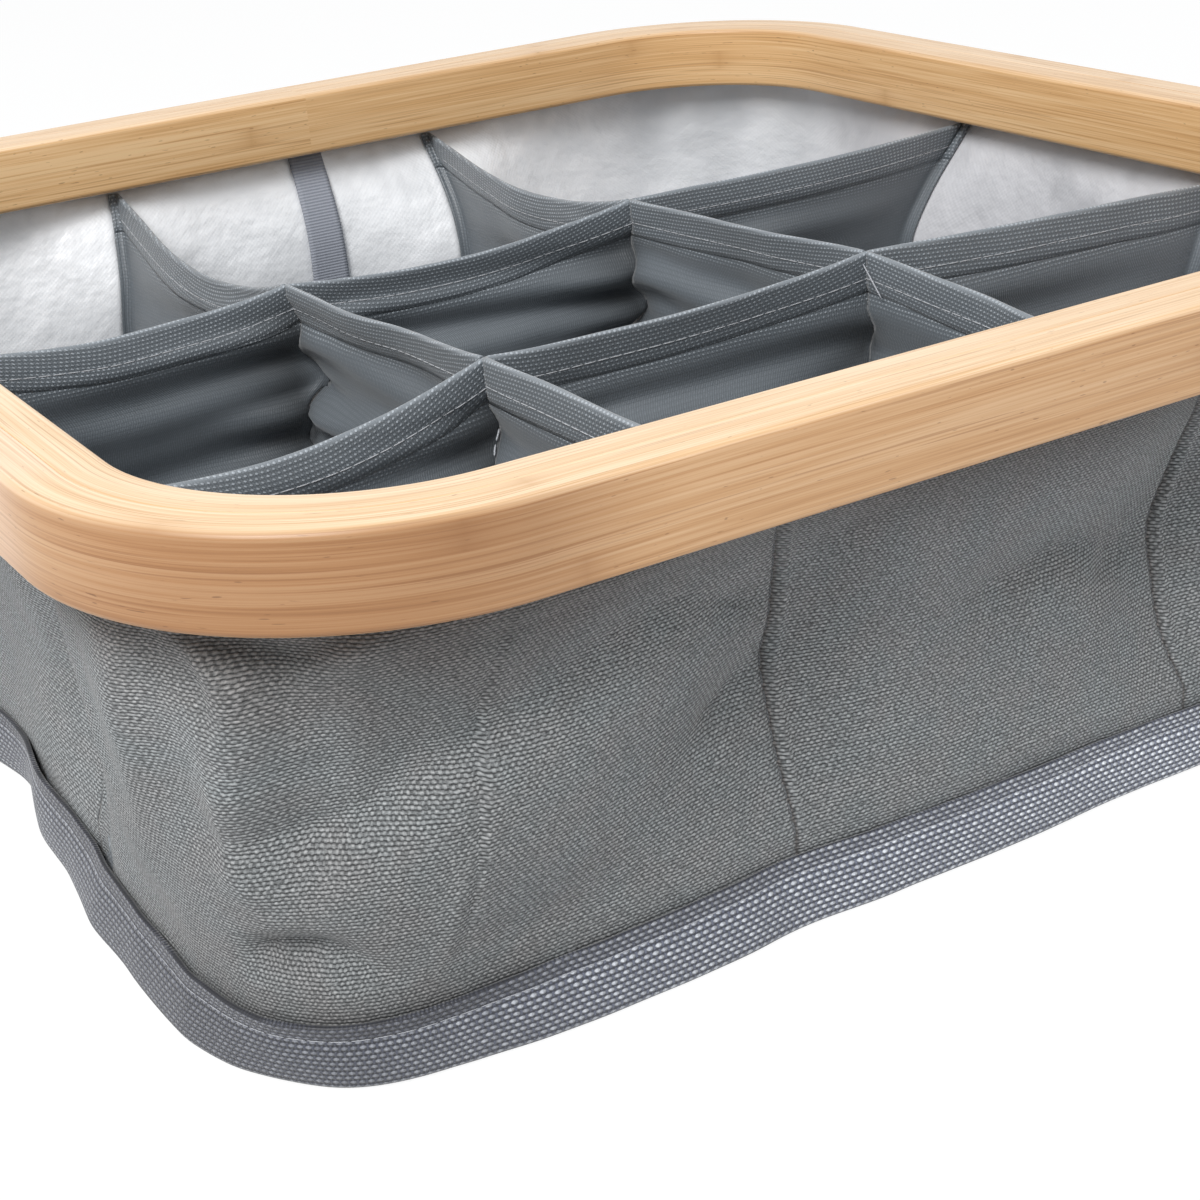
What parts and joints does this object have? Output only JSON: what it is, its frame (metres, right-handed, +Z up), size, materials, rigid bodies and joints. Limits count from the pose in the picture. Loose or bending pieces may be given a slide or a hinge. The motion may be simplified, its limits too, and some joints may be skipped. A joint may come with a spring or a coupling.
{
  "type": "drawer organizer",
  "caption": "Square fabric drawer tray with a bent bamboo rim and sewn cloth dividers forming open compartments.",
  "frame": {"origin": "under the middle of the tray, on the surface that it stands on", "axes": "+Z up out of the open top, +X along the front wall, +Y from the front wall to the back wall"},
  "size_m": [0.32, 0.32, 0.094],
  "materials": {
    "bamboo": "bent bamboo, clear satin lacquer",
    "linen_grey": "heathered grey plain weave, silver coated on the inside",
    "slate_cloth": "slate plain weave with a slight sheen",
    "webbing": "blue-grey woven binding tape",
    "white_plastic": "extruded strip",
    "hardboard": "bare hardboard"
  },
  "bodies": {
    "root": {"rim_outer_ply": "bamboo", "rim_inner_ply": "bamboo", "hem_strip": "white_plastic", "wall_front": "linen_grey", "wall_right": "linen_grey", "wall_back": "linen_grey", "wall_left": "linen_grey", "wall_corner_front_right": "linen_grey", "wall_corner_right_back": "linen_grey", "wall_corner_back_left": "linen_grey", "wall_corner_left_front": "linen_grey", "wall_joint_tape": "webbing", "base_inner_cloth": "slate_cloth", "base_board": "hardboard", "base_outer_cloth": "linen_grey", "base_binding": "webbing", "divider_x_front": "slate_cloth", "divider_x_back": "slate_cloth", "divider_y_left": "slate_cloth", "divider_y_right": "slate_cloth"}
  },
  "joints": []
}
